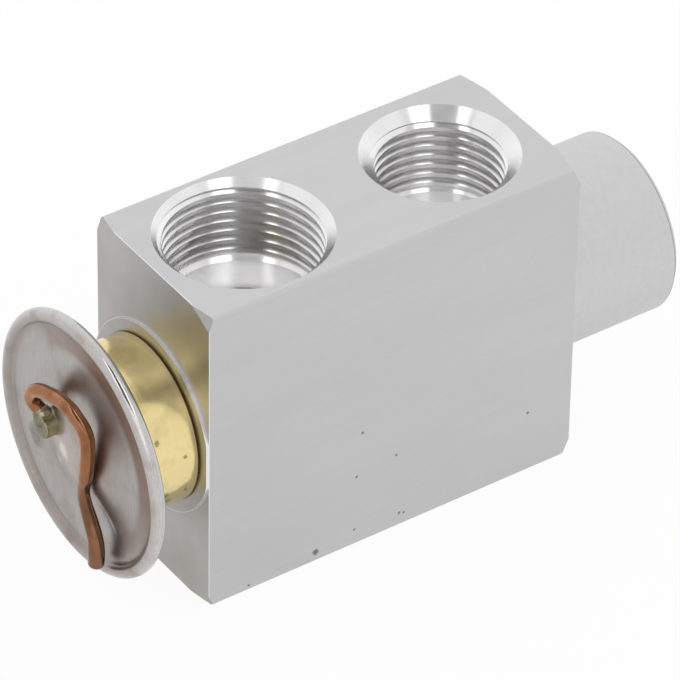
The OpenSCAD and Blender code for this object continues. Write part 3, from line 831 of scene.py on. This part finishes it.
def make_faced():
    material, tree, shader, place = start_finish("faced_aluminium")
    marks = use_group(tree, TURNING_MARKS, place, Fineness=12000.0)
    clouds = use_group(tree, SOFT_NOISE, place, Stretch=(120, 120, 120), Detail=2.0)
    colour = mix_colour(tree, clouds, FACED_GREY, FACED_DARK)
    colour = mix_colour(tree, number_math(tree, "MULTIPLY", marks, 0.3), colour, FACED_DARK)
    radius = length_of(tree, vector_math(tree, "SUBTRACT", place, ON_AXIS), FROM_AXIS)
    # Painted contact shadow, a dark ring where the neck meets the end face
    contact_shade = spread(tree, radius, NECK_R, NECK_R + CONTACT_SHADE_WIDTH, 0.7, 0.0)
    colour = mix_colour(tree, contact_shade, colour, CONTACT_SHADE)
    # Painted highlight on the edge of the raised land
    land_highlight = band(tree, radius, LAND_HIGHLIGHT_RISE, LAND_HIGHLIGHT_FALL, 0.6)
    colour = mix_colour(tree, land_highlight, colour, EDGE_HIGHLIGHT)
    dress(tree, shader, colour, marks, 0.34, 0.42, depth=0.001 * MM, strength=0.15)
    return material


def make_boss_finish():
    material, tree, shader, place = start_finish("turned_boss")
    marks = use_group(tree, TURNING_MARKS, place, Fineness=4500.0)
    mottling = use_group(tree, SOFT_NOISE, place, Stretch=(900, 900, 900), Detail=4.0)
    colour = mix_colour(tree, mottling, BOSS_GREY, BOSS_DARK)
    along = vector_math(tree, "DOT_PRODUCT", place, ALONG_BAR)
    off_reflection = number_math(tree, "ABSOLUTE", number_math(tree, "SUBTRACT", along, BOSS_REFLECTION_X))
    # Painted dark reflection near the boss's end
    colour = mix_colour(tree, spread(tree, off_reflection, *BOSS_REFLECTION_FADE, 0.8, 0.0), colour, BOSS_DARK_REFLECTION)
    both = mix_values(tree, 0.5, marks, mottling)
    dress(tree, shader, colour, both, 0.38, 0.5, depth=0.003 * MM, strength=0.15)
    return material


faced_aluminium = make_faced()
turned_boss = make_boss_finish()

# %% [markdown]
# The neck is polished brass, pale yellow, with cloudy stains and a few dark specks. The brass pieces inside
# have the same finish without the specks.

# %% Polished brass
BRASS_YELLOW = (0.88, 0.73, 0.36)
BRASS_STAIN = (0.62, 0.50, 0.24)
BRASS_SPECK = (0.22, 0.16, 0.08)
# Place along the bar, across it and up from its axis, and radius of each speck on the neck, in millimetres
NECK_SPECKS = [
    (-41.5, -13.2, -4.5, 1.0), (-40.5, -12.4, -6.5, 0.8), (-43.5, -11.4, -8.0, 1.4), (-38.0, -13.7, 2.2, 0.5),
    (-42.5, -12.6, 6.0, 0.6), (-37.5, -12.9, -5.0, 0.5),
]


def make_brass(name, specks):
    material, tree, shader, place = start_finish(name)
    marks = use_group(tree, TURNING_MARKS, place, Fineness=5200.0)
    clouds = use_group(tree, SOFT_NOISE, place, Stretch=(220, 220, 220), Detail=4.0, Low=-0.7, High=0.7)
    colour = mix_colour(tree, number_math(tree, "MAXIMUM", clouds, 0.0), BRASS_YELLOW, BRASS_STAIN)
    for along, across, up, radius in specks:
        centre = (along * MM, across * MM, AXIS_Z + up * MM)
        speck = use_group(tree, SPOT, place, Centre=centre, Radius=radius * MM, Ragged=1.1, Strength=0.7)
        colour = mix_colour(tree, speck, colour, BRASS_SPECK)
    dress(tree, shader, colour, marks, 0.12, 0.22, depth=0.002 * MM, strength=0.3)
    return material


neck_brass = make_brass("neck_brass", NECK_SPECKS)
inner_brass = make_brass("inner_brass", [])

# %% [markdown]
# The disc is stainless steel with the brown tint that welding leaves. The tint follows the distance from the
# axis: light on the dome, grey on the flat and brown inside the bead, and noise breaks it up. The brown ring
# inside the bead is partly tint and partly painted shade in that hollow, and a painted shade inside the bead
# is deepest on the upper front part of that slope. Painted shade and painted highlights lie on the dome, a
# painted highlight lies on the disc beside the tube, and the bead is polished.

# %% Heat tinted steel
# Share of the disc's radius, and the colour there. The dark ring where the flat meets the bead is partly tint
# and partly painted shade in that hollow.
TINT_AND_SHADE_STOPS = [
    (0.00, (0.52, 0.465, 0.42)), (0.25, (0.47, 0.435, 0.41)), (0.55, (0.43, 0.405, 0.39)),
    (0.64, (0.47, 0.455, 0.445)), (0.84, (0.45, 0.435, 0.425)), (0.895, (0.36, 0.325, 0.305)),
    (0.93, (0.44, 0.41, 0.40)), (1.00, (0.66, 0.65, 0.64)),
]
TINT_BROWN = (0.31, 0.245, 0.205)
SLOPE_SHADE_BROWN = (0.22, 0.14, 0.10)
# Shares of the radius between which the painted shade comes and goes, and the way to where it is deepest
SLOPE_SHADE_RISE = (0.69, 0.75)
SLOPE_SHADE_FALL = (0.90, 0.93)
UP_AND_FRONT = (0, -0.7, 0.7)
# Shares of the radius between which satin turns to polish, and how the two ends of the roughness change
POLISH_RISE = (0.935, 0.955)
SATIN_TO_POLISH = ((0.28, 0.09), (0.38, 0.19))
# Colours of the painted shade and painted highlights on the dome
PAINTED_SHADE_GREY = (0.17, 0.14, 0.125)
PAINTED_HIGHLIGHT_TONE = (0.82, 0.78, 0.73)
# Place across and up from the axis, radius in millimetres and strength of the painted shade and painted
# highlight patches on the dome
DOME_SHADE_PATCHES = [(13.3, -7.2, 2.3, 0.6), (10.2, -3.9, 1.8, 0.5), (5.5, 9.5, 1.5, 0.25)]
DOME_HIGHLIGHT_PATCHES = [(1.8, -1.5, 1.9, 0.6), (4.5, -5.5, 1.4, 0.35)]
# Ends of the painted highlight beside the tube, across and up from the axis, and its half width, in
# millimetres
SLIVER_HIGHLIGHT = (0.92, 0.90, 0.88)
SLIVER_ENDS = ((-5.0, -6.3), (-10.1, -11.8))
SLIVER_HALF_WIDTH = 0.42


def sliver_highlight_mask(tree, place):
    """1 on a straight line between the ends of the painted highlight, fading over the outer half of its
    width.
    """
    start, end = (Vector((0, across, up)) * MM for across, up in SLIVER_ENDS)
    half_length = (end - start).length / 2
    way = (end - start).normalized()
    middle = Vector(ON_AXIS) + (start + end) / 2
    moved = vector_math(tree, "SUBTRACT", place, tuple(middle))
    along = number_math(tree, "ABSOLUTE", vector_math(tree, "DOT_PRODUCT", moved, tuple(way)))
    across = number_math(tree, "ABSOLUTE", vector_math(tree, "DOT_PRODUCT", moved, (0, way.z, -way.y)))
    half_width = SLIVER_HALF_WIDTH * MM
    narrow = spread(tree, across, half_width * 0.5, half_width, 1.0, 0.0)
    short = spread(tree, along, half_length * 0.6, half_length, 1.0, 0.0)
    return number_math(tree, "MULTIPLY", narrow, short)


def make_tinted_steel():
    material, tree, shader, place = start_finish("tinted_steel")
    moved = vector_math(tree, "SUBTRACT", place, ON_AXIS)
    share = number_math(tree, "DIVIDE", length_of(tree, moved, FROM_AXIS), RIM_R + BEAD_R)
    # Heat tint, with painted shade in the ring where the flat meets the bead
    colour = ramp_colour(tree, share, TINT_AND_SHADE_STOPS)
    blotches = use_group(tree, SOFT_NOISE, place, Stretch=(160, 160, 160), Detail=4.0, Low=-0.6, High=0.6)
    colour = mix_colour(tree, number_math(tree, "MAXIMUM", blotches, 0.0), colour, TINT_BROWN)
    streaks = use_group(tree, SOFT_NOISE, place, Stretch=(5000, 5000, 250))
    colour = mix_colour(tree, number_math(tree, "MULTIPLY", streaks, 0.3), colour, TINT_BROWN)
    # Painted shade inside the bead, deepest on the upper front part of the slope
    inner_slope_shade = band(tree, share, SLOPE_SHADE_RISE, SLOPE_SHADE_FALL)
    upper_front_shade = vector_math(tree, "DOT_PRODUCT", moved, UP_AND_FRONT)
    upper_front_shade = spread(tree, upper_front_shade, 0.0, 0.7 * RIM_R, 0.0, 0.9)
    colour = mix_colour(tree, number_math(tree, "MULTIPLY", inner_slope_shade, upper_front_shade), colour, SLOPE_SHADE_BROWN)
    # Painted shade and painted highlights on the dome
    for patches, patch_colour in ((DOME_SHADE_PATCHES, PAINTED_SHADE_GREY), (DOME_HIGHLIGHT_PATCHES, PAINTED_HIGHLIGHT_TONE)):
        for across, up, radius, strength in patches:
            patch = use_group(
                tree, SPOT, place, Centre=(0, across * MM, AXIS_Z + up * MM), Stretch=FROM_AXIS,
                Radius=radius * MM, Ragged=0.9, Strength=strength,
            )
            colour = mix_colour(tree, patch, colour, patch_colour)
    # Painted highlight, a bright sliver on the disc beside the tube
    colour = mix_colour(tree, sliver_highlight_mask(tree, place), colour, SLIVER_HIGHLIGHT)
    haze = use_group(tree, SOFT_NOISE, place, Stretch=(500, 500, 500))
    both = mix_values(tree, 0.5, haze, streaks)
    smoothest, roughest = (spread(tree, share, *POLISH_RISE, *change) for change in SATIN_TO_POLISH)
    dress(tree, shader, colour, both, smoothest, roughest, depth=0.004 * MM, strength=0.3)
    return material


tinted_steel = make_tinted_steel()

# %% [markdown]
# The tube is drawn copper that has dulled to an orange brown, darker below the pinch. The braze round its
# root is dull. One side of it is painted lit, a yellowish grey, and painted shade makes the other side and
# its end dark.

# %% Copper and braze
COPPER_STOPS = [(0.0, (0.24, 0.10, 0.05)), (0.5, (0.37, 0.17, 0.085)), (1.0, (0.50, 0.25, 0.14))]
COPPER_DARK = (0.13, 0.07, 0.05)
# Heights between which the dark of the tube's lower part fades out
COPPER_FADE = (AXIS_Z - 7 * MM, AXIS_Z + 1 * MM)
BRAZE_SHADED = [(0.0, (0.15, 0.125, 0.10)), (1.0, (0.27, 0.235, 0.18))]
BRAZE_LIT = [(0.0, (0.36, 0.33, 0.20)), (1.0, (0.50, 0.46, 0.30))]
# The way to the side painted as lit, and the distances that way and from the stub's end over which the
# painted light comes up
LIT_SIDE = (0, -0.8, 0.6)
LIT_SIDE_RISE = (-1.2 * MM, 1.6 * MM)
STUB_END_X = DOME_TOP_X - STUB_OUT
END_SHADE_RISE = (STUB_END_X, STUB_END_X + 0.6 * MM)


def make_copper():
    material, tree, shader, place = start_finish("dulled_copper")
    mottling = use_group(tree, SOFT_NOISE, place, Stretch=(260, 260, 160), Detail=4.0)
    lower = spread(tree, vector_math(tree, "DOT_PRODUCT", place, UPWARDS), *COPPER_FADE, 0.6, 0.0)
    colour = mix_colour(tree, lower, ramp_colour(tree, mottling, COPPER_STOPS), COPPER_DARK)
    fine = use_group(tree, SOFT_NOISE, place, Stretch=(2600, 2600, 2600))
    dress(tree, shader, colour, fine, 0.15, 0.24, depth=0.003 * MM, strength=0.3)
    return material


def make_braze():
    material, tree, shader, place = start_finish("dull_braze")
    mottling = use_group(tree, SOFT_NOISE, place, Stretch=(700, 700, 700), Detail=4.0)
    moved = vector_math(tree, "SUBTRACT", place, (0, STUB_Y, AXIS_Z + STUB_Z))
    # Painted light and shade: lit on one side, shaded on the other side and on the stub's end
    towards_lit_side = spread(tree, vector_math(tree, "DOT_PRODUCT", moved, LIT_SIDE), *LIT_SIDE_RISE, 0.0, 1.0)
    off_shaded_end = spread(tree, vector_math(tree, "DOT_PRODUCT", place, ALONG_BAR), *END_SHADE_RISE, 0.25, 1.0)
    lit = number_math(tree, "MULTIPLY", towards_lit_side, off_shaded_end)
    dark, light = (ramp_colour(tree, mottling, stops) for stops in (BRAZE_SHADED, BRAZE_LIT))
    fine = use_group(tree, SOFT_NOISE, place, Stretch=(1800, 1800, 1800))
    colour = mix_colour(tree, lit, dark, light)
    dress(tree, shader, colour, fine, 0.24, 0.42, depth=0.02 * MM, strength=0.4)
    return material


dulled_copper = make_copper()
dull_braze = make_braze()

# %% [markdown]
# The inner pieces show only through the ports and the boss, but they get finishes of their own as well:
# ground steel, turned aluminium, turned brass and black rubber.

# %% Inner finishes
RUBBER_BLACK = (0.02, 0.02, 0.02)
RUBBER_GREY = (0.045, 0.045, 0.045)


def make_turned_metal(name, light, dark, smoothest, roughest):
    material, tree, shader, place = start_finish(name)
    marks = use_group(tree, TURNING_MARKS, place)
    colour = mix_colour(tree, marks, light, dark)
    dress(tree, shader, colour, marks, smoothest, roughest, depth=0.002 * MM, strength=0.4)
    return material


def make_rubber():
    material, tree, shader, place = start_finish("seal_rubber", metallic=0.0)
    grain = use_group(tree, SOFT_NOISE, place, Stretch=(1500, 1500, 1500))
    colour = mix_colour(tree, grain, RUBBER_BLACK, RUBBER_GREY)
    dress(tree, shader, colour, grain, 0.5, 0.7)
    return material


ground_steel = make_turned_metal("ground_steel", (0.68, 0.68, 0.68), (0.58, 0.58, 0.58), 0.18, 0.3)
inner_aluminium = make_turned_metal("inner_aluminium", (0.74, 0.74, 0.74), (0.64, 0.64, 0.64), 0.22, 0.36)
seal_rubber = make_rubber()

# %% [markdown]
# Now the finishes go onto the pieces. The block is one solid with several finishes, so each of its faces is
# given the finish of the tool that made it, by its place and its normal.

# %% Finishes on the pieces
DRAWN, SUCTION_PORT, LIQUID_PORT, FACED, BOSS = range(5)
EDGE_MARGIN = 0.01 * MM


def wear(piece, *materials):
    piece.data.materials.clear()
    for material in materials:
        piece.data.materials.append(material)


def finish_of_block_face(centre, normal):
    if centre.x > BAR_END_X + EDGE_MARGIN:
        return BOSS
    if math.hypot(centre.x - SUCTION_X, centre.y) < SUCTION_MOUTH_R - EDGE_MARGIN:
        return SUCTION_PORT
    if math.hypot(centre.x - LIQUID_X, centre.y) < LIQUID_MOUTH_R - EDGE_MARGIN:
        return LIQUID_PORT
    return FACED if abs(normal.x) > 0.5 else DRAWN


block = frame["nodes"]["valve_block"]
wear(block, drawn_aluminium, machined_suction, machined_liquid, faced_aluminium, turned_boss)
for face in block.data.polygons:
    face.material_index = finish_of_block_face(face.center, face.normal)

SLOT_FINISH = {
    "neck_brass": neck_brass, "head_steel": tinted_steel, "tube_copper": dulled_copper, "braze": dull_braze,
    "inner_steel": ground_steel, "inner_brass": inner_brass, "inner_aluminium": inner_aluminium,
    "seal_rubber": seal_rubber,
}
for part in frame["record"]["subparts"]:
    if part["node"] != "valve_block":
        wear(frame["nodes"][part["node"]], SLOT_FINISH[part["material_slot"]])
for piece, finish in (
    (disc_cover, tinted_steel), (disc_base, ground_steel), (charge_tube, dulled_copper),
    (braze_collar, dull_braze), *((ridge, machined_suction) for ridge in suction_threads),
    *((ridge, machined_liquid) for ridge in liquid_threads),
):
    wear(piece, finish)
print("Finished faces of the block:", len(block.data.polygons))

# %% [markdown]
# The studio is a pale floor in a soft white surround, with no lamps. The camera sees both as white. The floor
# keeps a part of its own shading, so that the valve still has a shadow under it, and the metal mirrors it a
# little darker than the camera sees it. Seen from below, the floor lets the camera look through.

# %% Floor
FLOOR_SIZE = 6.0
FLOOR_DROP = 0.02 * MM
FLOOR_WHITE = (0.9, 0.9, 0.9)
FLOOR_GLOW = 0.94
REFLECTED_GLOW = 0.6


def ray_kinds(tree):
    """What kind of ray it is, and a mask of those that the camera sends, also on through glass."""
    kinds = tree.nodes.new("ShaderNodeLightPath").outputs
    return kinds, number_math(tree, "MAXIMUM", kinds["Is Camera Ray"], kinds["Is Transmission Ray"])


def make_floor():
    bpy.ops.object.select_all(action="DESELECT")
    bpy.ops.mesh.primitive_plane_add(size=FLOOR_SIZE, location=(0, 0, -FLOOR_DROP))
    floor = bpy.context.object
    floor.name = "studio_floor"
    apply_place()
    material = bpy.data.materials.new("pale_floor")
    material.use_nodes = True
    tree = material.node_tree
    tree.nodes.remove(tree.nodes["Principled BSDF"])
    paper = tree.nodes.new("ShaderNodeBsdfDiffuse")
    paper.inputs["Color"].default_value = (*FLOOR_WHITE, 1)
    glow = tree.nodes.new("ShaderNodeEmission")
    kinds, straight = ray_kinds(tree)
    straight = number_math(tree, "MULTIPLY", straight, FLOOR_GLOW)
    mirrored = number_math(tree, "MULTIPLY", kinds["Is Glossy Ray"], REFLECTED_GLOW)
    glowing = number_math(tree, "MAXIMUM", straight, mirrored)
    lit = mix_shaders(tree, glowing, paper.outputs[0], glow.outputs[0])
    backfacing = tree.nodes.new("ShaderNodeNewGeometry").outputs["Backfacing"]
    from_below = number_math(tree, "MULTIPLY", backfacing, kinds["Is Camera Ray"])
    clear = tree.nodes.new("ShaderNodeBsdfTransparent")
    whole = mix_shaders(tree, from_below, lit, clear.outputs[0])
    feed(tree, tree.nodes["Material Output"].inputs["Surface"], whole)
    floor.data.materials.append(material)


make_floor()

# %% [markdown]
# Bare metal shows its surroundings, so the surround has the parts that the metal in the photograph mirrors: a
# bright wall behind the valve, a dark strip above the camera, where the photographer stands, and two bright
# panels beside that strip. The strip widens towards the camera, and a bright panel stands round the camera
# below it. The camera itself sees plain white. All of it is worked out from directions in the room, so it
# stays in its place when the camera moves.

# %% Surround
SURROUND_LIGHT = 0.84
BACK_WALL_GAIN = 0.16
STRIP_SPREAD = 1.2
STRIP_REACH = 0.6
# Place across the strip, from left to right, and the light there
STRIP_STOPS = [
    (-0.60, 0.9), (-0.40, 0.9), (-0.385, 0.4), (-0.365, 0.4), (-0.35, 0.9), (-0.315, 0.9), (-0.30, 2.2),
    (-0.215, 2.2), (-0.18, 0.12), (0.11, 0.12), (0.15, 2.0), (0.33, 1.8), (0.39, 0.45), (0.48, 0.55),
    (0.56, 0.95), (0.60, 0.95),
]
# A colour ramp is meant for values up to 1, so the light is divided by this and multiplied again
STRIP_GAIN = 4.0
# How far up the strip starts, and how far towards the camera's side the whole front starts
STRIP_START = (0.70, 0.78)
FRONT_START = (-0.06, 0.04)
# Nearness to the camera's direction at which its panel starts and is whole, and the light there
PANEL_EDGE = (0.85, 0.95)
PANEL_LIGHT = (0.9, 1.35)


def make_surround():
    world = bpy.data.worlds.new("white_surround")
    bpy.context.scene.world = world
    world.use_nodes = True
    tree = world.node_tree
    way = tree.nodes.new("ShaderNodeTexCoord").outputs["Generated"]

    def measured(direction):
        return vector_math(tree, "DOT_PRODUCT", way, tuple(direction))

    ahead = measured(Vector((to_camera.x, to_camera.y, 0)).normalized())
    back_wall = spread(tree, ahead, 0.0, -0.7, 0.0, BACK_WALL_GAIN)
    plain = number_math(tree, "ADD", back_wall, SURROUND_LIGHT)
    widening = number_math(tree, "ADD", number_math(tree, "MULTIPLY", ahead, STRIP_SPREAD), 1.0)
    across = number_math(tree, "DIVIDE", measured(level_right), widening)
    across = spread(tree, across, -STRIP_REACH, STRIP_REACH, 0.0, 1.0)
    stops = [((place / STRIP_REACH + 1) / 2, (light / STRIP_GAIN,) * 3) for place, light in STRIP_STOPS]
    strip = number_math(tree, "MULTIPLY", ramp_colour(tree, across, stops), STRIP_GAIN)
    panel = spread(tree, measured(to_camera), *PANEL_EDGE, *PANEL_LIGHT)
    front = mix_values(tree, spread(tree, measured(UPWARDS), *STRIP_START, 0.0, 1.0), panel, strip)
    light = mix_values(tree, spread(tree, ahead, *FRONT_START, 0.0, 1.0), plain, front)
    room = tree.nodes.new("ShaderNodeBackground")
    feed(tree, room.inputs["Strength"], light)
    seen = tree.nodes["Background"]
    for background in (room, seen):
        background.inputs["Color"].default_value = (1, 1, 1, 1)
    seen.inputs["Strength"].default_value = 1.0
    whole = mix_shaders(tree, ray_kinds(tree)[1], room.outputs[0], seen.outputs[0])
    feed(tree, tree.nodes["World Output"].inputs["Surface"], whole)


make_surround()
bpy.context.scene.view_settings.view_transform = "Standard"
print("Surround light:", SURROUND_LIGHT, "strip stops:", len(STRIP_STOPS))
